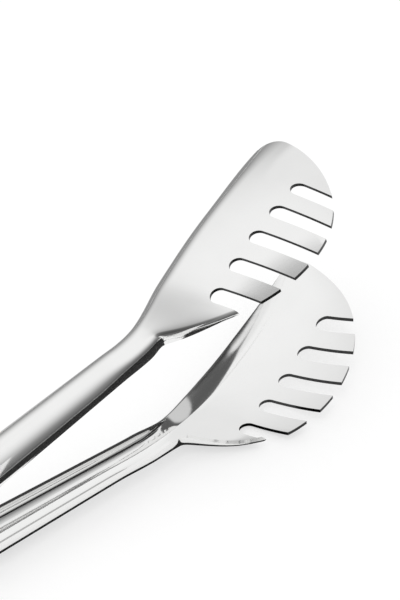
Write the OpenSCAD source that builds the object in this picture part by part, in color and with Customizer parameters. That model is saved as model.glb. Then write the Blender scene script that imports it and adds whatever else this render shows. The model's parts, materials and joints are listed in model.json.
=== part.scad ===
/* [Sheet] */
// Thickness of the pressed sheet of both arms
sheet = 1.2; // [1:0.1:1.6]
// Height of each handle rim above the plane midway between the arms
rim_z = 1.2; // [0.8:0.1:2]
// How much shallower than half round the handle's channel is
flatten = 0.9; // [0:0.1:1.5]

/* [Handle] */
// Distance from the hinge axis to the bend at the neck
neck_x = 150; // [130:1:190]
// Half width of the handle at the neck
neck_r = 5.6; // [5:0.1:7]
// Half width of the handle where the hand holds it
grip_r = 8.4; // [7.5:0.1:9]
// Distance from the hinge axis to the middle of the grip
grip_x = 58; // [40:1:80]

/* [Blade] */
// Angle that the comb blade turns away from the handle
cant = 21.4; // [0:0.1:30]
// Radius of the round comb edge
disc_r = 46; // [42:0.5:52]
// Distance along the blade from the neck bend to the middle of the comb
reach = 42; // [38:0.5:50]
// Distance from the centre of the comb edge to the straight back edge
back_off = 3.6; // [1:0.1:6]
// Distance from the back edge to the ridge that runs on from the handle
ridge_off = 6.6; // [6:0.1:9]
// Radius of the corner between the back edge and the comb edge
corner_r = 6; // [3:0.1:9]
// Height of the blade at the root of the middle slot
blade_z = 7.9; // [7:0.1:9]
// Slope of the blade towards its tip
tip_dive = 7; // [4:0.1:10]
// Slope of the blade across, down towards the teeth
side_tilt = 6.6; // [3:0.1:9]
// Radius of the bow along the blade
bow_r = 154; // [130:1:220]
// Radius of the dish across the blade
dish_r = 111; // [90:1:200]
// Twist of the blade, as slope across gained over 100 mm of length
twist = 0.42; // [0.2:0.01:0.5]
// Fall of the blade's tip corner on the back side, over 100 mm of length and 10 mm of width
corner_fall = 1; // [0:0.1:1.5]
// Depth of the roll along the back edge
roll_h = 3.7; // [2:0.1:4.5]
// Depth of that roll at the neck
roll_neck_h = 2.9; // [2:0.1:4.5]
// Depth of that roll at the tip
roll_tip_h = 0.8; // [0.3:0.1:2]
// Steepness of the wall that runs from the handle out to the last tooth
wall_angle = 66; // [60:1:80]
// Softness of the bend along the top of that wall
wall_soft = 0.9; // [0.8:0.05:1.5]
// How far the wall stands in from the comb edge at the neck
wall_inset = 1.5; // [0.5:0.1:3]
// Height of the lip that runs on from the wall to the last tooth
lip_h = 1.5; // [0.5:0.1:2]

/* [Comb] */
// Distance from one slot to the next
slot_pitch = 12.5; // [11:0.1:14]
// Width of each slot
slot_w = 5.8; // [4:0.1:7]
// Number of slots
slot_n = 5; // [3:2:5]
// Distance from the centre of the comb edge to the root of the slots
slot_root = 27.4; // [22:0.1:34]

/* [Hinge] */
// Width over the cheeks of the lower arm
hinge_w = 18; // [17:0.2:22]
// Diameter of the hinge pin
pin_d = 4; // [3:0.1:5]
// Running clearance of the pin on its radius
pin_gap = 0.05; // [0.02:0.01:0.1]
// Diameter of the pin's head and of the cap
head_d = 8; // [7:0.1:9]
// Height of the pin's head and of the cap
head_h = 1.5; // [1:0.1:2.5]
// Radius of the cheeks round the pin
cheek_r = 4.8; // [4.5:0.1:5.5]
// Distance from the hinge axis to the rear end of the channels
rear_x = 8; // [7.5:0.1:10]
// Thickness of the washers between the cheeks
washer_t = 0.6; // [0.4:0.1:0.8]
// Diameter of those washers
washer_d = 7.2; // [6.4:0.1:7.6]
// Side play of pieces that turn against each other
side_gap = 0.25; // [0.2:0.05:0.35]
// Face gap of pieces that sit together
face_gap = 0.1; // [0.05:0.01:0.15]
// Angle between the arms when they stand open
open_angle = 14.64; // [12:0.02:16]

/* [Spring] */
// Wire diameter of the spring
wire_d = 1; // [0.8:0.05:1.2]
// Whole turns of the coil besides the half turn between its legs
turns = 4; // [2:1:4]
// Advance of the coil for each turn
coil_pitch = 1.5; // [1.45:0.05:1.7]
// Wall of the bush inside the coil
bush_wall = 0.9; // [0.7:0.1:1.1]
// Room between the bush and the coil
coil_gap = 0.3; // [0.2:0.05:0.5]
// Length of each spring leg
leg_l = 22; // [16:1:30]
// Tilt of each leg towards the arm that it pushes
leg_tilt = 2; // [0:0.5:3]

/* [Hanging eye] */
// Diameter of the hanging hole
eye_d = 5; // [4:0.1:6]
// Width of the tongue round the hole
tongue_w = 11; // [10:0.1:13]
// Distance from the hinge axis to the hole
eye_x = 18.5; // [17:0.1:26]

/* [Hidden] */
steel = [0.80, 0.80, 0.79];
brushed = [0.66, 0.66, 0.67];
nylon = [0.90, 0.90, 0.88];
big = 200;
eps = 0.01;

// hinge: half widths over the cheeks, and the bush between them
low_r = hinge_w / 2;
up_r = low_r - sheet - face_gap - washer_t - side_gap;
bush_l = 2 * (up_r - sheet - side_gap);
bush_r = pin_d / 2 + pin_gap + bush_wall;
coil_r = bush_r + coil_gap + wire_d / 2;
washer_y = low_r - sheet - face_gap - washer_t / 2;

// neck and blade: the ridge runs straight from the hinge, bends over bend_l
// before and after the neck point, and runs on along the canted blade
bend_l = 12;
bend_u0 = neck_x - bend_l;
bend_u1 = neck_x + bend_l;
ridge_v = back_off + ridge_off;
along = [cos(cant), sin(cant)];
across = [sin(cant), -cos(cant)];
centre = [neck_x, 0] + reach * along - ridge_v * across;
tip_u = neck_x + reach + disc_r + 4;

// the part lies on its lower arm, with its origin under the middle of its box
x_max = centre[0] + disc_r;
x_min = -eye_x - tongue_w / 2;
corner_s = sqrt(pow(disc_r - corner_r, 2) - pow(back_off + corner_r, 2));
corner_v = back_off + corner_r;
y_max = centre[1] + corner_s * along[1] + corner_v * across[1] + corner_r;
y_min = centre[1] - disc_r;
floor_z = rim_z + low_r - flatten;
hinge_at = [-(x_max + x_min) / 2, -(y_max + y_min) / 2, floor_z];

function clamp(x) = min(1, max(0, x));
function ease(a, b, x) = let (t = clamp((x - a) / (b - a))) t * t * (3 - 2 * t);
function mix(a, b, t) = a + (b - a) * t;
function soft_max(a, b, k) = (a + b + sqrt((a - b) * (a - b) + k * k)) / 2;
function plus(x) = soft_max(x, 0, 4);
function unit(v) = v / norm(v);

// point of the ridge in plan at the distance u from the hinge, and its heading
function bend_t(u) = clamp((u - bend_u0) / (2 * bend_l));
function ridge(u) =
    u <= bend_u0 ? [u, 0] :
    u >= bend_u1 ? [neck_x, 0] + (u - neck_x) * along :
    let (t = bend_t(u)) [neck_x, 0] - pow(1 - t, 2) * bend_l * [1, 0] + t * t * bend_l * along;
function heading(u) = let (t = bend_t(u)) atan2(t * along[1], (1 - t) + t * along[0]);

// half width of the handle: necked at the hinge, full at the grip, slim at the neck
function slim(u) = mix(grip_r, neck_r, clamp((u - grip_x) / (neck_x - grip_x)));
function half_w(u, rear_r) = mix(rear_r, slim(u), ease(12, grip_x, u));
// squareness of the channel: boxy at the hinge, half round along the handle
function square_n(u) = mix(4, 2, ease(12, grip_x, u));
// its comb side squares up again into the wall of the neck
function shoulder_n(u) = mix(square_n(u), 4, ease(bend_u0 - 14, neck_x + 4, u));

// height of the blade's outer skin at s along and v across from the comb's centre
function blade_h(s, v) = let (w = slot_root - v)
    blade_z - tan(tip_dive) * s - s * s / (2 * bow_r)
    + tan(side_tilt) * w - w * w / (2 * dish_r)
    + twist / 100 * (s * w - plus(-s) * plus(-w) * 0.6)
    - corner_fall / 10000 * s * pow(max(0, w), 2);

// how far the section at u reaches to the comb side: channel wall, then past the comb edge
function disc_reach(u) = let (
        e = [sin(heading(u)), -cos(heading(u))],
        c = centre - ridge(u),
        k = e * c,
        q = k * k + disc_r * disc_r - c * c)
    q > 0 ? k + sqrt(q) : 0;
function spare(u) = 3 * ease(bend_u1 + 3.5, bend_u1 + 9.5, u);
function comb_w(u, rear_r) =
    u < bend_u0 ? half_w(u, rear_r) :
    soft_max(half_w(u, rear_r), max(4, disc_reach(u)) + spare(u)
        - wall_inset * (1 - ease(bend_u1 - 2, bend_u1 + 8, u)), 2 * ease(bend_u0, neck_x, u));
function back_w(u, rear_r) = mix(half_w(u, rear_r), ridge_off, ease(bend_u0 + 6, bend_u1 + 6, u));
function depth(u, rear_r) = half_w(u, rear_r) - flatten;
function comb_h(u, rear_r) = depth(u, rear_r) * (1 - ease(neck_x - 6, bend_u1, u))
    + lip_h * ease(bend_u0, bend_u1, u) * (1 - ease(bend_u1 + 3, bend_u1 + 9, u));
function back_h(u, rear_r) = mix(
    mix(mix(depth(u, rear_r), roll_neck_h, ease(bend_u0, neck_x + 4, u)), roll_h, ease(neck_x + 4, neck_x + 30, u)),
    roll_tip_h, ease(neck_x + reach + 5, tip_u - 4, u));
// cheeks round the pin, and a short straight rim elsewhere
function cheek(u) = 0.3 + (rim_z + cheek_r - 0.3) * pow(max(0, 1 - pow(u / rear_x, 2)), 0.6);

// drop of the skin at the share a of the half width, on a rounded square of power n
function fall(a, n) = 1 - pow(max(0, 1 - pow(a, n)), 1 / n);
// drop of the skin at x past the bend of a flat wall, its slope there, and the x where it is h
function wall_fall(x) = tan(wall_angle) * (sqrt(x * x + wall_soft * wall_soft) + x) / 2;
function wall_slope(x) = tan(wall_angle) * (1 + x / sqrt(x * x + wall_soft * wall_soft)) / 2;
function wall_x(h) = h / tan(wall_angle) - wall_soft * wall_soft * tan(wall_angle) / (4 * max(h, eps));

// outer skin of an arm at u along it; k counts from the back rim to the comb rim
back_n = 8;
comb_n = 12;
cols = back_n + comb_n + 3;
function skin(u, k, rear_r) = let (
        side = k <= back_n + 1 ? 1 : -1,
        j = abs(k - back_n - 1),
        full = side > 0 ? back_n : comb_n,
        a = sin(90 * min(1, j / full)),
        w = side > 0 ? back_w(u, rear_r) : comb_w(u, rear_r),
        h = side > 0 ? back_h(u, rear_r) : comb_h(u, rear_r),
        round_fall = h * fall(a, side > 0 ? square_n(u) : shoulder_n(u)),
        blade_fall = side > 0 ? h * a * a * (1 + a) / 2 : wall_fall(w * a - w + wall_x(h)),
        edge_tilt = atan(side > 0 ? 2.5 * h / w : wall_slope(wall_x(h))),
        part = side > 0 ? ease(neck_x - 9, neck_x + 7, u) : ease(neck_x - 2, neck_x + 14, u),
        drop = mix(round_fall, blade_fall, part),
        lean = mix(90, edge_tilt, part),
        rim = j > full ? cheek(u) : 0,
        y = side * (w * a + rim * cos(lean)),
        e = [-sin(heading(u)), cos(heading(u))],
        p = ridge(u) + y * e,
        s = (p - centre) * along,
        v = (p - centre) * across,
        handle_h = rim_z + depth(u, rear_r),
        base = mix(handle_h, blade_h(s, v), ease(bend_u0 - 4, bend_u1 + 6, u)))
    [p[0], p[1], base - drop - rim * sin(lean)];

// stations along the arm, closest at the hinge, the neck and the blade
function stations() = concat(
    [for (i = [-4 : 4]) rear_x * sin(22.5 * i)],
    [11, 15, 21, 29, 40],
    [for (i = [1 : 6]) mix(40, bend_u0, i / 6)],
    [for (i = [1 : 13]) mix(bend_u0, bend_u1 + 2, i / 13)],
    [for (i = [1 : 13]) mix(bend_u1 + 2, tip_u, i / 13)]);

module sheet_arm(rear_r) {
    us = stations();
    rows = len(us);
    outer = [for (u = us) [for (k = [0 : cols - 1]) skin(u, k, rear_r)]];
    inner = [for (i = [0 : rows - 1]) [for (k = [0 : cols - 1]) let (
        du = outer[min(rows - 1, i + 1)][k] - outer[max(0, i - 1)][k],
        dk = outer[i][min(cols - 1, k + 1)] - outer[i][max(0, k - 1)])
        outer[i][k] + sheet * unit(cross(du, dk))]];
    pts = concat([for (r = outer) each r], [for (r = inner) each r]);
    n = rows * cols;
    faces = concat(
        [for (i = [0 : rows - 2]) for (k = [0 : cols - 2]) let (a = i * cols + k) each
            [[a, a + cols + 1, a + 1], [a, a + cols, a + cols + 1]]],
        [for (i = [0 : rows - 2]) for (k = [0 : cols - 2]) let (a = n + i * cols + k) each
            [[a, a + 1, a + cols + 1], [a, a + cols + 1, a + cols]]],
        [for (i = [0 : rows - 2]) for (k = [0, cols - 1]) let (a = i * cols + k, b = a + cols) each k == 0 ?
            [[a, b + n, b], [a, a + n, b + n]] : [[a, b, b + n], [a, b + n, a + n]]],
        [for (k = [0 : cols - 2]) for (i = [0, rows - 1]) let (a = i * cols + k, b = a + 1) each i == 0 ?
            [[a, b, b + n], [a, b + n, a + n]] : [[a, b + n, b], [a, a + n, b + n]]]);
    polyhedron(pts, faces, convexity = 8);
}

// plan of what is cut from the blade, about the centre of the comb edge:
// all outside the comb edge, the corner at the tip, and the slots
module comb_cut() {
    difference() {
        translate([-reach + bend_l + 4, ridge_v]) square(big);
        circle(r = disc_r);
    }
    difference() {
        polygon([[corner_s, -big], [big, -big], [big, big * corner_v / corner_s], [corner_s, corner_v]]);
        translate([corner_s, corner_v]) circle(r = corner_r);
    }
    for (i = [0 : slot_n - 1]) translate([(i - (slot_n - 1) / 2) * slot_pitch, slot_root]) {
        circle(d = slot_w);
        translate([-slot_w / 2, 0]) square([slot_w, big]);
    }
}

module pressed_arm(rear_r, bore_d) {
    difference() {
        union() {
            sheet_arm(rear_r);
            children();
        }
        translate([centre[0], centre[1], -big / 2]) rotate(cant) mirror([0, 1, 0])
            linear_extrude(height = big) comb_cut();
        rotate([90, 0, 0]) cylinder(d = bore_d, h = hinge_w + 2, center = true, $fn = 48);
    }
}

// lower arm: lies on its back, with the hanging tongue at its rear end
module lower_arm() color(steel) translate(hinge_at) mirror([0, 0, 1])
    pressed_arm(low_r, pin_d + 2 * pin_gap)
        translate([-eye_x, 0, floor_z - sheet]) linear_extrude(height = sheet) difference() {
            union() {
                circle(d = tongue_w, $fn = 64);
                translate([0, -tongue_w / 2]) square([eye_x - rear_x + 1.5, tongue_w]);
            }
            circle(d = eye_d, $fn = 48);
        }

// upper arm: its rear lip comes down on the lower arm's floor when the arms are open
module upper_arm() color(steel) translate(hinge_at) rotate([0, -open_angle, 0])
    pressed_arm(up_r, pin_d + 2 * pin_gap) {
        lip_w = up_r;
        lip_z = (floor_z - sheet - side_gap - rear_x * sin(open_angle)) / cos(open_angle);
        translate([-rear_x, -lip_w / 2, -lip_z]) cube([sheet, lip_w, lip_z + rim_z + up_r - flatten - sheet / 3]);
    }

// rivet: domed head on one side, shank through all four cheeks
module hinge_pin() color(brushed) translate(hinge_at) rotate([90, 0, 0]) {
    dome = (head_d * head_d / 4 + head_h * head_h) / (2 * head_h);
    translate([0, 0, low_r + face_gap]) intersection() {
        cylinder(d = head_d, h = head_h, $fn = 64);
        translate([0, 0, head_h - dome]) sphere(r = dome, $fn = 96);
    }
    translate([0, 0, -low_r - face_gap - head_h * 0.6]) cylinder(d = pin_d, h = 2 * (low_r + face_gap) + head_h * 0.6 + 0.2, $fn = 48);
}

// domed cap on the other end of the pin
module pin_cap() color(brushed) translate(hinge_at) rotate([-90, 0, 0]) difference() {
    dome = (head_d * head_d / 4 + head_h * head_h) / (2 * head_h);
    translate([0, 0, low_r + face_gap]) intersection() {
        cylinder(d = head_d, h = head_h, $fn = 64);
        translate([0, 0, head_h - dome]) sphere(r = dome, $fn = 96);
    }
    cylinder(d = pin_d + 2 * pin_gap, h = low_r + face_gap + head_h * 0.6 + face_gap, $fn = 48);
}

module washer(side) color(nylon) translate(hinge_at) translate([0, side * washer_y, 0]) rotate([90, 0, 0])
    difference() {
        cylinder(d = washer_d, h = washer_t, center = true, $fn = 64);
        cylinder(d = pin_d + 2 * pin_gap, h = 2, center = true, $fn = 48);
    }
module washer_left() washer(1);
module washer_right() washer(-1);

module spring_bush() color(brushed) translate(hinge_at) rotate([90, 0, 0]) difference() {
    cylinder(r = bush_r, h = bush_l, center = true, $fn = 64);
    cylinder(d = pin_d + 2 * pin_gap, h = bush_l + 2, center = true, $fn = 48);
}

// spring: one wire from the upper leg, round the bush, out along the lower leg
up_dir = open_angle + leg_tilt;
coil_sweep = 360 * turns + 180 - up_dir - leg_tilt;
coil_w = coil_pitch * coil_sweep / 360;
coil_steps = ceil(coil_sweep / 45);
function coil_pt(i) = let (t = i / coil_steps, g = 90 + up_dir + coil_sweep * t)
    [coil_r * cos(g), coil_w * (t - 0.5), coil_r * sin(g)];
spring_path = concat(
    [for (l = [leg_l, leg_l * 0.5]) coil_pt(0) + l * [cos(up_dir), 0, sin(up_dir)]],
    [for (i = [0 : coil_steps]) coil_pt(i)],
    [for (l = [leg_l * 0.5, leg_l]) coil_pt(coil_steps) + l * [cos(leg_tilt), 0, -sin(leg_tilt)]]);
spring_gap = min([for (i = [0 : coil_steps]) for (j = [i + 5 : 1 : coil_steps]) norm(coil_pt(i) - coil_pt(j))]) - wire_d;
echo(spring_gap = spring_gap);

module wire(path, d, sides) {
    n = len(path);
    rings = [for (i = [0 : n - 1]) let (
        t = unit(path[min(n - 1, i + 1)] - path[max(0, i - 1)]),
        a = unit(cross([0, 1, 0], t)),
        b = cross(t, a))
        [for (k = [0 : sides - 1]) path[i] + d / 2 * (cos(360 * k / sides) * a + sin(360 * k / sides) * b)]];
    faces = concat(
        [for (i = [0 : n - 2]) for (k = [0 : sides - 1]) let (a = i * sides + k, b = i * sides + (k + 1) % sides) each
            [[a, a + sides, b + sides], [a, b + sides, b]]],
        [for (k = [1 : sides - 2]) [0, k, k + 1]],
        [for (k = [1 : sides - 2]) (n - 1) * sides * [1, 1, 1] + [0, k + 1, k]]);
    polyhedron([for (r = rings) each r], faces, convexity = 6);
}
module torsion_spring() color(brushed) translate(hinge_at) wire(spring_path, wire_d, 6);

lower_arm();
upper_arm();
hinge_pin();
pin_cap();
washer_left();
washer_right();
spring_bush();
torsion_spring();
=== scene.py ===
import bpy
import bmesh
import json
import math
import numpy as np
from mathutils import Matrix, Vector


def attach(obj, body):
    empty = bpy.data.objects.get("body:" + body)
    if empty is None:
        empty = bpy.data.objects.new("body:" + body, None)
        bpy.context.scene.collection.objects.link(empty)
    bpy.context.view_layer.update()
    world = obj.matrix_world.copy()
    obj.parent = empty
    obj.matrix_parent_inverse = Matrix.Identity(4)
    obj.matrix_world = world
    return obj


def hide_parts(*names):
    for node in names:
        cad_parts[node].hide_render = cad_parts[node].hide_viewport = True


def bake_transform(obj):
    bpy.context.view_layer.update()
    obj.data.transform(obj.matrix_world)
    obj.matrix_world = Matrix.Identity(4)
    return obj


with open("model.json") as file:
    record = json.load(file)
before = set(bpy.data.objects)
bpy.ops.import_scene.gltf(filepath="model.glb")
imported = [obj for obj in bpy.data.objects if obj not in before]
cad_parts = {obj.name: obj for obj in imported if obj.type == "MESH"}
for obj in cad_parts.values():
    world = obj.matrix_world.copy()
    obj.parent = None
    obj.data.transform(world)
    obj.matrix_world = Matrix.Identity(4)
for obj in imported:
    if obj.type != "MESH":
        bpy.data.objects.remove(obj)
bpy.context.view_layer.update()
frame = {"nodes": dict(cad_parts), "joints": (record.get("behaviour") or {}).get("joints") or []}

# Camera at the photograph's viewing angle: above the handles, to the left of
# the blades, with a long lens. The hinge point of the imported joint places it.
mm = 0.001
hinge = Vector(frame["joints"][0]["pos_m"])
from_hinge = Vector((-239.44, -579.06, 634.61)) * mm
look_along = Vector((0.4385, 0.6293, -0.6417))
frame_right = Vector((0.7913, -0.6089, -0.0564))
view = bpy.data.cameras.new("camera")
view.sensor_width = 36
view.lens = 180
view.clip_start = 0.05
view.clip_end = 20
camera = bpy.data.objects.new("camera", view)
bpy.context.scene.collection.objects.link(camera)
back = -look_along.normalized()
up = back.cross(frame_right.normalized()).normalized()
turn = Matrix((up.cross(back), up, back)).transposed().to_4x4()
camera.matrix_world = Matrix.Translation(hinge + from_hinge) @ turn
bpy.context.scene.camera = camera
bpy.context.scene.view_settings.view_transform = "Standard"

# Studio: a matt white table in a white room, under one large soft lamp that
# hangs over the tongs. To the camera and in the metal the table is partly
# white by itself, and the rest of it takes the lamp's light and the shadow.
table_size, table_z, table_white = 6, -0.0002, 0.62
room_light, lamp_power = 0.92, 3
lamp_at, lamp_aim = Vector((-0.1, 0.1, 1.1)), Vector((0, 0, 0.03))


def grey(level):
    return level, level, level, 1


def new_material(name, looks):
    """A new node material, with these values on its shader."""
    material = bpy.data.materials.new(name)
    material.use_nodes = True
    shader = material.node_tree.nodes["Principled BSDF"]
    for socket, value in looks.items():
        shader.inputs[socket].default_value = value
    return material


def add_node(tree, kind, inputs, **settings):
    """A new shader node. Each input is a value or another node's output."""
    step = tree.nodes.new("ShaderNode" + kind)
    for key, value in settings.items():
        setattr(step, key, value)
    for key, value in inputs.items():
        if isinstance(value, bpy.types.NodeSocket):
            tree.links.new(value, step.inputs[key])
        else:
            step.inputs[key].default_value = value
    return step


def surface(tree, shader):
    tree.links.new(shader, tree.nodes["Material Output"].inputs["Surface"])


world = bpy.data.worlds.new("white_room")
bpy.context.scene.world = world
world.use_nodes = True
room = world.node_tree.nodes["Background"]
room.inputs["Color"].default_value = grey(1)
room.inputs["Strength"].default_value = room_light

bpy.ops.object.select_all(action="DESELECT")
bpy.ops.mesh.primitive_plane_add(size=table_size, location=(0, 0, table_z))
table = bpy.context.object
table.name = "table"
white_table = new_material("white_table", {
    "Base Color": grey(0.97), "Roughness": 0.9, "Specular IOR Level": 0.1})
paper = white_table.node_tree
rays = add_node(paper, "LightPath", {})
seen = rays.outputs["Is Camera Ray"]
for kind in ("Is Glossy Ray", "Is Transmission Ray"):
    either = add_node(paper, "Math", {0: seen, 1: rays.outputs[kind]}, operation="MAXIMUM")
    seen = either.outputs["Value"]
share = add_node(paper, "Math", {0: seen, 1: table_white}, operation="MULTIPLY")
white = add_node(paper, "Emission", {})
blend = add_node(paper, "MixShader", {
    "Fac": share.outputs["Value"],
    1: paper.nodes["Principled BSDF"].outputs["BSDF"], 2: white.outputs["Emission"]})
surface(paper, blend.outputs["Shader"])
table.data.materials.append(white_table)

lamp = bpy.data.lights.new("softbox", "AREA")
lamp.energy = lamp_power
lamp.shape = "RECTANGLE"
lamp.size = 0.9
lamp.size_y = 0.7
softbox = bpy.data.objects.new("softbox", lamp)
bpy.context.scene.collection.objects.link(softbox)
softbox.location = lamp_at
softbox.rotation_euler = (lamp_aim - lamp_at).to_track_quat("-Z", "Y").to_euler()
softbox.visible_glossy = False

# Light tent: a wide dome of white cloth, lit from outside, that only the metal
# sees. It fades towards the camera's side, has dim and bright patches, and bears
# the black crescent flag that the lower blade mirrors as a dark ellipse.
tent_r = 2.5
bpy.ops.object.select_all(action="DESELECT")
bpy.ops.mesh.primitive_uv_sphere_add(segments=64, ring_count=32, radius=tent_r)
tent = bpy.context.object
tent.name = "light_tent"
tent_cloth = new_material("tent_cloth", {})
cloth = tent_cloth.node_tree
cloth.nodes.remove(cloth.nodes["Principled BSDF"])
glow = add_node(cloth, "Emission", {})
surface(cloth, glow.outputs["Emission"])
tent_point = add_node(cloth, "TexCoord", {})
aim = add_node(cloth, "VectorMath", {0: tent_point.outputs["Object"]}, operation="NORMALIZE")


def patch(azimuth, elevation, inner, outer, low, high):
    """A soft round patch of the tent: high within the inner angle, low past the outer one."""
    az, el = math.radians(azimuth), math.radians(elevation)
    middle = (math.cos(az) * math.cos(el), math.sin(az) * math.cos(el), math.sin(el))
    dot = add_node(cloth, "VectorMath", {0: aim.outputs["Vector"], 1: middle}, operation="DOT_PRODUCT")
    soft = add_node(cloth, "MapRange", {
        "Value": dot.outputs["Value"],
        "From Min": math.cos(math.radians(outer)), "From Max": math.cos(math.radians(inner)),
        "To Min": low, "To Max": high}, interpolation_type="SMOOTHSTEP")
    return soft.outputs["Result"]


def join(a, b, how):
    return add_node(cloth, "Math", {0: a, 1: b}, operation=how).outputs["Value"]


# each row: azimuth, elevation, inner angle and outer angle in degrees, then the light there
shaded = ((150, 35, 8, 48, 0.42), (-168, 42, 14, 34, 0.4))
windows = ((5, 40, 38, 50, 0.9), (-40, 62, 6, 24, 0.95))
crescent = (5, 12, 38, 39.5, 0.12)
crescent_cut_outs = ((11, -3, 38, 41, 0.75), (53, 37, 23, 24.5, 1), (-90, 15, 55, 56.3, 1))
small_flag = (-52, 28, 12, 14, 0.1)
light = join(patch(50, 55, 25, 90, 0.3, 1), patch(0, 90, 35, 95, 0.36, 1), "MULTIPLY")
for *spot, level in shaded:
    light = join(light, patch(*spot, 1, level), "MULTIPLY")
for *spot, level in windows:
    light = join(light, patch(*spot, 0, level), "MAXIMUM")
flag = patch(*crescent[:4], 1, crescent[4])
for *spot, level in crescent_cut_outs:
    flag = join(flag, patch(*spot, 0, level), "MAXIMUM")
light = join(light, flag, "MULTIPLY")
light = join(light, patch(*small_flag[:4], 1, small_flag[4]), "MULTIPLY")
cloth.links.new(light, glow.inputs["Strength"])
tent.data.materials.append(tent_cloth)

# Felt cards: black, grey and white felt that lies on the table round the tongs
# or stands beside them, a black card under the tongs in place of their shadow on
# the table (a painted shadow), and a fine net hung over the tips. Only the
# metal sees them, and mirrors them as its dark and light bands. Sizes in mm.
lay_z, side_y, side_foot, strip_h = 0.2, -70, 1, 6
wing_y, wing_foot_z, wing_top_z, net_z = -69, 0.4, 100, 133
net_thick_y, net_thin_y, net_thick = -5, 22, 0.5


def felt(name, level):
    return new_material(name, {"Base Color": grey(level), "Roughness": 1, "Specular IOR Level": 0})


black_felt = felt("black_felt", 0.035)
grey_felt = felt("grey_felt", 0.54)
white_felt = felt("white_felt", 0.95)
mid_felt = felt("mid_felt", 0.28)
net_felt = felt("net_felt", 0.035)
net = net_felt.node_tree
net_point = add_node(net, "TexCoord", {})
split = add_node(net, "SeparateXYZ", {"Vector": net_point.outputs["Object"]})
thin = add_node(net, "MapRange", {
    "Value": split.outputs["Y"], "From Min": net_thick_y * mm, "From Max": net_thin_y * mm,
    "To Min": net_thick, "To Max": 1}, interpolation_type="SMOOTHSTEP")
clear = add_node(net, "BsdfTransparent", {})
weave = add_node(net, "MixShader", {
    "Fac": thin.outputs["Result"],
    1: net.nodes["Principled BSDF"].outputs["BSDF"], 2: clear.outputs["BSDF"]})
surface(net, weave.outputs["Shader"])


def laid(z, *corners):
    """Corners of a card that lies level at z."""
    return [(x, y, z) for x, y in corners]


def card(name, felt_cloth, corners):
    """A flat piece of that felt, cut to its corners."""
    mesh = bpy.data.meshes.new(name)
    mesh.from_pydata([Vector(c) * mm for c in corners], [], [range(len(corners))])
    mesh.materials.append(felt_cloth)
    piece = bpy.data.objects.new(name, mesh)
    bpy.context.scene.collection.objects.link(piece)
    return piece


side_top = ((160, 42), (80, 44), (60, 47), (30, 41), (-44, 27), (-200, 4))
side_edge = [(x, side_y, z) for x, z in side_top]
strip_edge = [(x, side_y, z + strip_h) for x, z in side_top[::-1]]
wing_base = [(-43, wing_y, wing_foot_z), (-11, wing_y, wing_foot_z)]
cards = [
    card("front_card", black_felt, laid(
        lay_z, (-900, -420), (520, -420), (270, -170), (150, -84),
        (100, -58), (60, -44), (-900, -42))),
    # black card under the lower arm, in place of the tongs' shadow on the table as the metal mirrors it: a
    # painted shadow
    card("painted_shadow_card", black_felt, laid(
        lay_z, (-130, -17.5), (46, -15.5), (58, -21.5), (71, -28.8),
        (82, -30.5), (97, -28), (60, -4), (-130, 4))),
    card("side_card", black_felt, [(-200, side_y, side_foot), (160, side_y, side_foot)] + side_edge),
    card("side_strip", mid_felt, side_edge + strip_edge),
    card("rear_card", grey_felt, laid(lay_z, (-1500, 42), (61, 42), (61, 1400), (-1500, 1400))),
    card("tip_card", mid_felt, laid(lay_z, (61, 42), (170, 76), (300, 170), (1200, 1400), (61, 1400))),
    card("wing_card", white_felt, wing_base + [(-11, wing_y, wing_top_z), (-43, wing_y, wing_top_z)]),
    card("wing_foot", white_felt, wing_base + laid(wing_foot_z, (14, -50), (0, -42))),
    card("net_card", net_felt, laid(net_z, (64, -30), (150, -30), (150, 45), (64, 45)))]
for stand in [tent] + cards:
    stand.visible_camera = False
    stand.visible_diffuse = False
    stand.visible_shadow = False
    stand.visible_transmission = False

# Pressed arms: two stainless steel sheets, each drawn into a channel handle
# that runs out into a canted comb blade, then trimmed, slotted and polished.
# Sizes in mm, about the hinge axis: x along the handle, y across, z outwards.
# sheet and channel handle: thickness, height of the rims, half widths
sheet, rim_z, flatten = 1.2, 1.2, 0.9
neck_x, neck_r, grip_r, grip_x = 150, 5.6, 8.4, 58
square, rounded = 4, 2
# blade in plan: its angle to the handle, round comb edge, straight back and slots
cant, disc_r, reach, bend_l = math.radians(21.4), 46, 42, 12
back_off, ridge_off, corner_r = 3.6, 6.6, 6
slot_n, slot_pitch, slot_w, slot_root = 5, 12.5, 5.8, 27.4
# blade in height: bow, dish and twist, slopes, the rolled back, and the neck's wall
blade_z, bow_r, dish_r, twist, untwist, corner_fall = 7.9, 154, 111, 0.42, 0.6, 1
dive, tilt, wall = (math.tan(math.radians(angle)) for angle in (7, 6.6, 66))
roll_h, roll_neck_h, roll_tip_h = 3.7, 2.9, 0.8
wall_soft, wall_inset, lip_h = 0.9, 1.5, 1.5
# hinge end: cheeks, half widths of the two arms, pin hole, hanging tongue and its eye
rear_x, cheek_r, cheek_power, low_r, up_r = 8, 4.8, 0.6, 9, 6.85
pin_d, pin_gap, side_gap, hole_points = 4, 0.05, 0.25, 48
eye_x, eye_d, tongue_w, tongue_lap = 18.5, 5, 11, 1.5
open_angle = math.radians(14.64)
# skin drawn past the edges for trimming, and the least width and depth it may have
trim_spare, rim_spare, tip_spare, trim_start, least_w, least_h = 3, 0.3, 4, 4, 4, 0.01

bend_u0, bend_u1 = neck_x - bend_l, neck_x + bend_l
ridge_v = back_off + ridge_off
along = np.array((math.cos(cant), math.sin(cant)))
across = np.array((math.sin(cant), -math.cos(cant)))
neck = np.array((neck_x, 0))
centre = neck + reach * along - ridge_v * across
tip_u = neck_x + reach + disc_r + tip_spare
floor_z = rim_z + low_r - flatten

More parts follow.
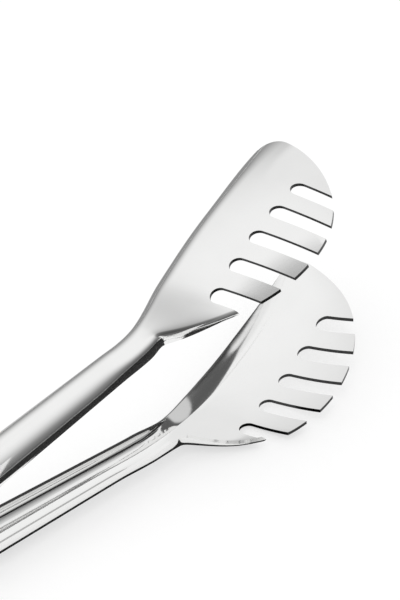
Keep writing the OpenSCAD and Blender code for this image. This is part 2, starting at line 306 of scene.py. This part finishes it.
# stretches of the arm over which one form eases into the next
hinge_to_grip = 12, grip_x
comb_corner_on = bend_u0 - 14, neck_x + 4
back_width_on = bend_u0 + 6, bend_u1 + 6
roll_on = bend_u0, neck_x + 4
roll_deepens = neck_x + 4, neck_x + 30
roll_fades = neck_x + reach + 5, tip_u - 4
trim_on = bend_u1 + 3.5, bend_u1 + 9.5
inset_off = bend_u1 - 2, bend_u1 + 8
comb_width_on = bend_u0, neck_x
wall_off = neck_x - 6, bend_u1
lip_on = bend_u0, bend_u1
lip_off = bend_u1 + 3, bend_u1 + 9
back_blade_on = neck_x - 9, neck_x + 7
comb_blade_on = neck_x - 2, neck_x + 14
blade_height_on = bend_u0 - 4, bend_u1 + 6

# rows of the drawn grid: evenly round the cheeks, then so many over each stretch
handle_u, blade_u = 40, bend_u1 + 4
row_runs = ((rear_x, handle_u, 20), (handle_u, bend_u0, 44), (bend_u0, blade_u, 53), (blade_u, tip_u, 79))
cheek_rows, back_cols, comb_cols, rim_cols = 29, 22, 46, 2
cheek_stations = rear_x * np.sin(np.linspace(-math.pi / 2, math.pi / 2, cheek_rows))
stations = np.concatenate([cheek_stations] + [np.linspace(*run)[1:] for run in row_runs])


def ease(a, b, x):
    t = np.clip((x - a) / (b - a), 0, 1)
    return t * t * (3 - 2 * t)


def mix(a, b, t):
    return a + (b - a) * t


def soft_max(a, b, k):
    return (a + b + np.sqrt((a - b) ** 2 + k * k)) / 2


def plus(x):
    return soft_max(x, 0, 4)


def blade_height(s, v):
    """Height of the dished, bowed and twisted blade at s along and v across it."""
    w = slot_root - v
    return (blade_z - dive * s - s * s / (2 * bow_r) + tilt * w - w * w / (2 * dish_r)
            + twist / 100 * (s * w - untwist * plus(-s) * plus(-w))
            - corner_fall / 10000 * s * np.maximum(0, w) ** 2)


def ridge_line(u):
    """The ridge in plan at u along the arm, and its heading."""
    t = np.clip((u - bend_u0) / (2 * bend_l), 0, 1)
    bend = np.stack((neck_x - (1 - t) ** 2 * bend_l + t * t * bend_l * along[0],
                     t * t * bend_l * along[1]), -1)
    straight = np.stack((u, 0 * u), -1)
    canted = neck + (u - neck_x)[..., None] * along
    ridge = np.where((u <= bend_u0)[..., None], straight,
                     np.where((u >= bend_u1)[..., None], canted, bend))
    return ridge, np.arctan2(t * along[1], (1 - t) + t * along[0])


def back_side(u, a, half):
    """Width, depth, fall on the blade and lean at the edge, on the side of the rolled back."""
    w = mix(half, ridge_off, ease(*back_width_on, u))
    h = mix(half - flatten, roll_neck_h, ease(*roll_on, u))
    h = mix(mix(h, roll_h, ease(*roll_deepens, u)), roll_tip_h, ease(*roll_fades, u))
    edge_slope = 2.5 * h / w
    return w, h, h * a * a * (1 + a) / 2, np.arctan(edge_slope)


def comb_side(u, a, half, ridge, head):
    """The same on the side of the comb, with the wall that runs out to the last tooth."""
    away = centre - ridge
    k = np.sin(head) * away[..., 0] - np.cos(head) * away[..., 1]
    q = k * k + disc_r ** 2 - (away ** 2).sum(-1)
    disc = np.where(q > 0, k + np.sqrt(np.maximum(q, 0)), 0)
    spare = trim_spare * ease(*trim_on, u)
    inset = wall_inset * (1 - ease(*inset_off, u))
    comb_w = np.maximum(least_w, disc) + spare - inset
    w = np.where(u < bend_u0, half, soft_max(half, comb_w, 2 * ease(*comb_width_on, u)))
    lip = lip_h * ease(*lip_on, u) * (1 - ease(*lip_off, u))
    h = (half - flatten) * (1 - ease(*wall_off, u)) + lip
    wall_x = h / wall - wall_soft ** 2 * wall / (4 * np.maximum(h, least_h))
    x = w * a - w + wall_x
    fall = wall * (np.sqrt(x * x + wall_soft ** 2) + x) / 2
    edge_slope = wall * (1 + wall_x / np.sqrt(wall_x ** 2 + wall_soft ** 2)) / 2
    return w, h, fall, np.arctan(edge_slope)


def drawn_skin(u, a, rim, side, rear_r):
    """Outer skin at u along the arm and the share a of its half width; rim runs on past the edge."""
    ridge, head = ridge_line(u)
    slim = mix(grip_r, neck_r, np.clip((u - grip_x) / (neck_x - grip_x), 0, 1))
    half = mix(rear_r, slim, ease(*hinge_to_grip, u))
    power = mix(square, rounded, ease(*hinge_to_grip, u))
    if side > 0:
        w, h, blade_fall, edge = back_side(u, a, half)
        part = ease(*back_blade_on, u)
    else:
        w, h, blade_fall, edge = comb_side(u, a, half, ridge, head)
        part = ease(*comb_blade_on, u)
        power = mix(power, square, ease(*comb_corner_on, u))
    round_fall = h * (1 - np.maximum(0, 1 - a ** power) ** (1 / power))
    drop = mix(round_fall, blade_fall, part)
    lean = mix(math.pi / 2, edge, part)
    bulge = np.maximum(0, 1 - (u / rear_x) ** 2) ** cheek_power
    cheek = rim * (rim_spare + (rim_z + cheek_r - rim_spare) * bulge)
    y = side * (w * a + cheek * np.cos(lean))
    p = ridge + y[..., None] * np.stack((-np.sin(head), np.cos(head)), -1)
    s, v = (p - centre) @ along, (p - centre) @ across
    base = mix(rim_z + (half - flatten), blade_height(s, v), ease(*blade_height_on, u))
    return np.concatenate((p, (base - drop - cheek * np.sin(lean))[..., None]), -1)


def textured(material, kind, inputs, mapping=None, **settings):
    """A pattern on the piece's own coordinates, stretched or centred by a mapping."""
    tree = material.node_tree
    at = add_node(tree, "TexCoord", {}).outputs["Object"]
    if mapping:
        at = add_node(tree, "Mapping", {"Vector": at, **mapping}).outputs["Vector"]
    return add_node(tree, kind, {"Vector": at, **inputs}, **settings).outputs["Fac"]


def wear(material, pattern, low, high):
    """Roughness between low and high, as the pattern runs."""
    tree = material.node_tree
    gloss = add_node(tree, "MapRange", {"Value": pattern, "To Min": low, "To Max": high})
    tree.links.new(gloss.outputs["Result"], tree.nodes["Principled BSDF"].inputs["Roughness"])


def tint(material, pattern, one, other):
    """Colour between one and the other, as the pattern runs."""
    tree = material.node_tree
    tone = add_node(tree, "Mix", {"Factor": pattern, "A": one, "B": other}, data_type="RGBA")
    tree.links.new(tone.outputs["Result"], tree.nodes["Principled BSDF"].inputs["Base Color"])


def score(material, pattern, strength, depth):
    """Fine marks of that depth in the surface, as the pattern runs."""
    tree = material.node_tree
    marked = add_node(tree, "Bump", {"Strength": strength, "Distance": depth, "Height": pattern})
    tree.links.new(marked.outputs["Normal"], tree.nodes["Principled BSDF"].inputs["Normal"])


polished = new_material("mirror_steel", {"Metallic": 1})
marks = textured(polished, "TexNoise", {"Scale": 1, "Detail": 4}, {"Scale": (60, 900, 900)})
cloud = textured(polished, "TexNoise", {"Scale": 110, "Detail": 6})
wear(polished, marks, 0.05, 0.11)
tint(polished, cloud, (0.85, 0.85, 0.845, 1), (0.89, 0.89, 0.885, 1))
score(polished, marks, 0.02, 0.0002)

# Cut faces of the sheet: rougher, as sheared edges are, and coloured near black as a painted dark reflection.
sheared_painted_reflection = new_material("sheared_edge_painted_reflection", {"Metallic": 1})
tear = textured(sheared_painted_reflection, "TexNoise", {"Scale": 1}, {"Scale": (2500, 2500, 300)})
wear(sheared_painted_reflection, tear, 0.25, 0.45)
tint(sheared_painted_reflection, tear, grey(0.03), grey(0.065))


def punch(name, outline, low, high, finish):
    """A straight punch of that outline, standing from low to high."""
    bm = bmesh.new()
    face = bm.faces.new([bm.verts.new((x, y, low)) for x, y in outline])
    top = bmesh.ops.extrude_face_region(bm, geom=[face])
    raised = [g for g in top["geom"] if isinstance(g, bmesh.types.BMVert)]
    bmesh.ops.translate(bm, verts=raised, vec=(0, 0, high - low))
    bmesh.ops.recalc_face_normals(bm, faces=bm.faces)
    mesh = bpy.data.meshes.new(name)
    bm.to_mesh(mesh)
    bm.free()
    mesh.materials.append(finish)
    tool = bpy.data.objects.new(name, mesh)
    bpy.context.scene.collection.objects.link(tool)
    return tool


def press(piece, tool, kind="DIFFERENCE"):
    """Cuts the tool out of the piece, or joins it on, each face with its own finish."""
    bpy.ops.object.select_all(action="DESELECT")
    bpy.context.view_layer.objects.active = piece
    step = piece.modifiers.new("press", "BOOLEAN")
    step.operation = kind
    step.solver = "MANIFOLD"
    step.material_mode = "TRANSFER"
    step.object = tool
    bpy.ops.object.modifier_apply(modifier=step.name)
    bpy.data.objects.remove(tool)


def arc(cx, cy, r, start, end, n):
    turned_to = [math.radians(a) for a in np.linspace(start, end, n)]
    return [(cx + r * math.cos(a), cy + r * math.sin(a)) for a in turned_to]


def ring(x, y, r, n):
    around = [2 * math.pi * k / n for k in range(n)]
    return [(x + r * math.cos(a), y + r * math.sin(a)) for a in around]


def blade_cut(arm, name, outline):
    """Punches an outline, given along and across the blade, right through the arm."""
    deep = 60
    plan = [centre + s * along + v * across for s, v in outline]
    press(arm, punch(name, plan, -deep, deep, sheared_painted_reflection))


def pressed_arm(name, rear_r):
    """A grid drawn to the skin and given its sheet, then trimmed and slotted."""
    rows, cols = len(stations), back_cols + comb_cols + 2 * rim_cols + 1
    bpy.ops.object.select_all(action="DESELECT")
    bpy.ops.mesh.primitive_grid_add(x_subdivisions=rows - 1, y_subdivisions=cols - 1, size=2)
    arm = bpy.context.object
    arm.name = name
    arm.data.materials.append(polished)
    arm.data.materials.append(sheared_painted_reflection)
    flat = np.array([v.co[:2] for v in arm.data.vertices])
    u = stations[np.rint((flat[:, 0] + 1) / 2 * (rows - 1)).astype(int)]
    col = np.rint((flat[:, 1] + 1) / 2 * (cols - 1)).astype(int) - comb_cols - rim_cols
    skins = []
    for side, count in ((1, back_cols), (-1, comb_cols)):
        a = np.sin(math.pi / 2 * np.clip(side * col / count, 0, 1))
        rim = np.clip(side * col - count, 0, rim_cols) / rim_cols
        skins.append(drawn_skin(u, a, rim, side, rear_r))
    skin = np.where((col > 0)[:, None], *skins)
    arm.data.vertices.foreach_set("co", skin.astype(np.float32).ravel())
    arm.data.update()
    thicken = arm.modifiers.new("sheet", "SOLIDIFY")
    thicken.thickness = sheet
    thicken.offset = -1
    thicken.material_offset_rim = 1
    bpy.ops.object.modifier_apply(modifier=thicken.name)
    # the rim keeps the near-black cut-face colour along the back, a painted dark reflection, and takes the
    # polished steel on the comb side
    for face in arm.data.polygons:
        on_comb_side = face.center.y < max(0, face.center.x - neck_x) * math.tan(cant)
        if on_comb_side and face.material_index == 1:
            face.material_index = 0
    beyond = 90
    corner_v = back_off + corner_r
    corner_s = math.sqrt((disc_r - corner_r) ** 2 - corner_v ** 2)
    corner_at = math.degrees(math.atan2(corner_v, corner_s))
    trim_s = -reach + bend_l + trim_start
    trim_at = 180 - math.degrees(math.acos(-trim_s / disc_r))
    comb_edge = arc(0, 0, disc_r, trim_at, corner_at, 72)
    corner = arc(corner_s, corner_v, corner_r, corner_at, -90, 20)
    waste = [(corner_s, -beyond), (beyond, -beyond), (beyond, beyond), (trim_s, beyond)]
    blade_cut(arm, "trim", comb_edge + corner + waste)
    for n in range(slot_n):
        s = (n - slot_n // 2) * slot_pitch
        root = arc(s, slot_root, slot_w / 2, 180, 360, 24)
        blade_cut(arm, "slot", root + [(s + slot_w / 2, beyond), (s - slot_w / 2, beyond)])
    return arm


def pin_punch():
    """A round punch along the hinge axis, through both cheeks of an arm."""
    past_cheeks = 12
    tool = punch("pin_hole", ring(0, 0, pin_d / 2 + pin_gap, hole_points), -past_cheeks, past_cheeks, sheared_painted_reflection)
    tool.data.transform(Matrix.Rotation(math.pi / 2, 4, "X"))
    return tool


lower = pressed_arm("lower_arm_sheet", low_r)
tongue_x = -rear_x + tongue_lap
tongue_end = [(-eye_x + x, y) for x, y in arc(0, 0, tongue_w / 2, 90, 270, 33)]
tongue = tongue_end + [(tongue_x, -tongue_w / 2), (tongue_x, tongue_w / 2)]
press(lower, punch("tongue", tongue, floor_z - sheet, floor_z, polished), "UNION")
press(lower, punch("eye", ring(-eye_x, 0, eye_d / 2, hole_points), 0, 2 * floor_z, sheared_painted_reflection))
press(lower, pin_punch())
lower.data.transform(Matrix.Scale(-1, 4, (0, 0, 1)))
lower.data.flip_normals()
lower.data.transform(Matrix.Translation(hinge) @ Matrix.Scale(mm, 4))

upper = pressed_arm("upper_arm_sheet", up_r)
stop_x = -rear_x + sheet
stop = [(-rear_x, -up_r / 2), (stop_x, -up_r / 2), (stop_x, up_r / 2), (-rear_x, up_r / 2)]
stop_low = (floor_z - sheet - side_gap - rear_x * math.sin(open_angle)) / math.cos(open_angle)
press(upper, punch("lip", stop, -stop_low, rim_z + up_r - flatten - sheet / 3, polished), "UNION")
press(upper, pin_punch())
opened = Matrix.Rotation(-open_angle, 4, "Y")
upper.data.transform(Matrix.Translation(hinge) @ opened @ Matrix.Scale(mm, 4))

for piece, body, node in ((lower, "lower", "lower_arm"), (upper, "upper", "upper_arm")):
    bpy.ops.object.select_all(action="DESELECT")
    piece.select_set(True)
    bpy.context.view_layer.objects.active = piece
    bpy.ops.object.shade_smooth_by_angle(angle=math.radians(35))
    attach(piece, body)
    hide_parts(node)

# Rivet, cap and bush: a steel rivet with a domed head goes through all four
# cheeks, a domed cap closes its far end, and a plain bush between the cheeks
# keeps the coil off the shank. Turned on a lathe and left satin.
turned = new_material("turned_steel", {"Metallic": 1})
tool_rings = textured(turned, "TexWave", {"Scale": 1100, "Distortion": 1.5, "Detail": 3},
                      {"Location": -hinge}, wave_type="RINGS", rings_direction="Y")
wear(turned, tool_rings, 0.24, 0.36)
tint(turned, tool_rings, (0.62, 0.62, 0.63, 1), (0.7, 0.7, 0.71, 1))
score(turned, tool_rings, 0.12, 0.0001)
for node in ("hinge_pin", "pin_cap", "spring_bush"):
    frame["nodes"][node].data.materials.clear()
    frame["nodes"][node].data.materials.append(turned)

# Washers: two thin nylon rings on the rivet, one on each side between the
# cheeks of the two arms, punched from sheet so that steel never rubs on steel.
nylon = new_material("white_nylon", {"Subsurface Weight": 0.1, "Subsurface Scale": 0.001})
fleck = textured(nylon, "TexNoise", {"Scale": 900, "Detail": 5})
wear(nylon, fleck, 0.42, 0.6)
tint(nylon, fleck, (0.84, 0.84, 0.81, 1), (0.92, 0.92, 0.9, 1))
for node in ("washer_left", "washer_right"):
    frame["nodes"][node].data.materials.clear()
    frame["nodes"][node].data.materials.append(nylon)

# Torsion spring: one length of round spring wire, wound over the bush, whose two
# straight legs press the arms apart. It is cold drawn.
wire_d, turns, coil_pitch, bush_wall, coil_gap = 1, 4, 1.5, 0.9, 0.3
leg_l, leg_tilt, coil_points, leg_points = 22, math.radians(2), 150, 8
coil_r = pin_d / 2 + pin_gap + bush_wall + coil_gap + wire_d / 2
up_dir = open_angle + leg_tilt
sweep = 2 * math.pi * turns + math.pi - up_dir - leg_tilt
coil_w = coil_pitch * sweep / (2 * math.pi)
turn_at = math.pi / 2 + up_dir + sweep * np.linspace(0, 1, coil_points)
coil_y = coil_w * np.linspace(-0.5, 0.5, coil_points)
coil = np.stack((coil_r * np.cos(turn_at), coil_y, coil_r * np.sin(turn_at)), -1)
leg = np.linspace(leg_l, 1, leg_points)[:, None]
upper_leg = coil[0] + leg * (math.cos(up_dir), 0, math.sin(up_dir))
lower_leg = coil[-1] + leg[::-1] * (math.cos(leg_tilt), 0, -math.sin(leg_tilt))
path = np.concatenate((upper_leg, coil, lower_leg)) * mm + np.array(hinge)
wire = bpy.data.curves.new("spring_wire", "CURVE")
wire.dimensions = "3D"
wire.bevel_depth = wire_d / 2 * mm
wire.bevel_resolution = 5
wire.use_fill_caps = True
run = wire.splines.new("POLY")
run.points.add(len(path) - 1)
for point, place in zip(run.points, path):
    point.co = (*place, 1)
spring = bpy.data.objects.new("spring_wire", wire)
bpy.context.scene.collection.objects.link(spring)
bpy.ops.object.select_all(action="DESELECT")
spring.select_set(True)
bpy.context.view_layer.objects.active = spring
bpy.ops.object.convert(target="MESH")
bpy.ops.object.shade_smooth_by_angle(angle=math.radians(50))
wire_steel = new_material("spring_wire_steel", {"Metallic": 1})
die_marks = textured(wire_steel, "TexNoise", {"Scale": 1600, "Detail": 4})
wear(wire_steel, die_marks, 0.2, 0.38)
tint(wire_steel, die_marks, grey(0.5), (0.66, 0.65, 0.64, 1))
spring.data.materials.clear()
spring.data.materials.append(wire_steel)
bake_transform(spring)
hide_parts("torsion_spring")
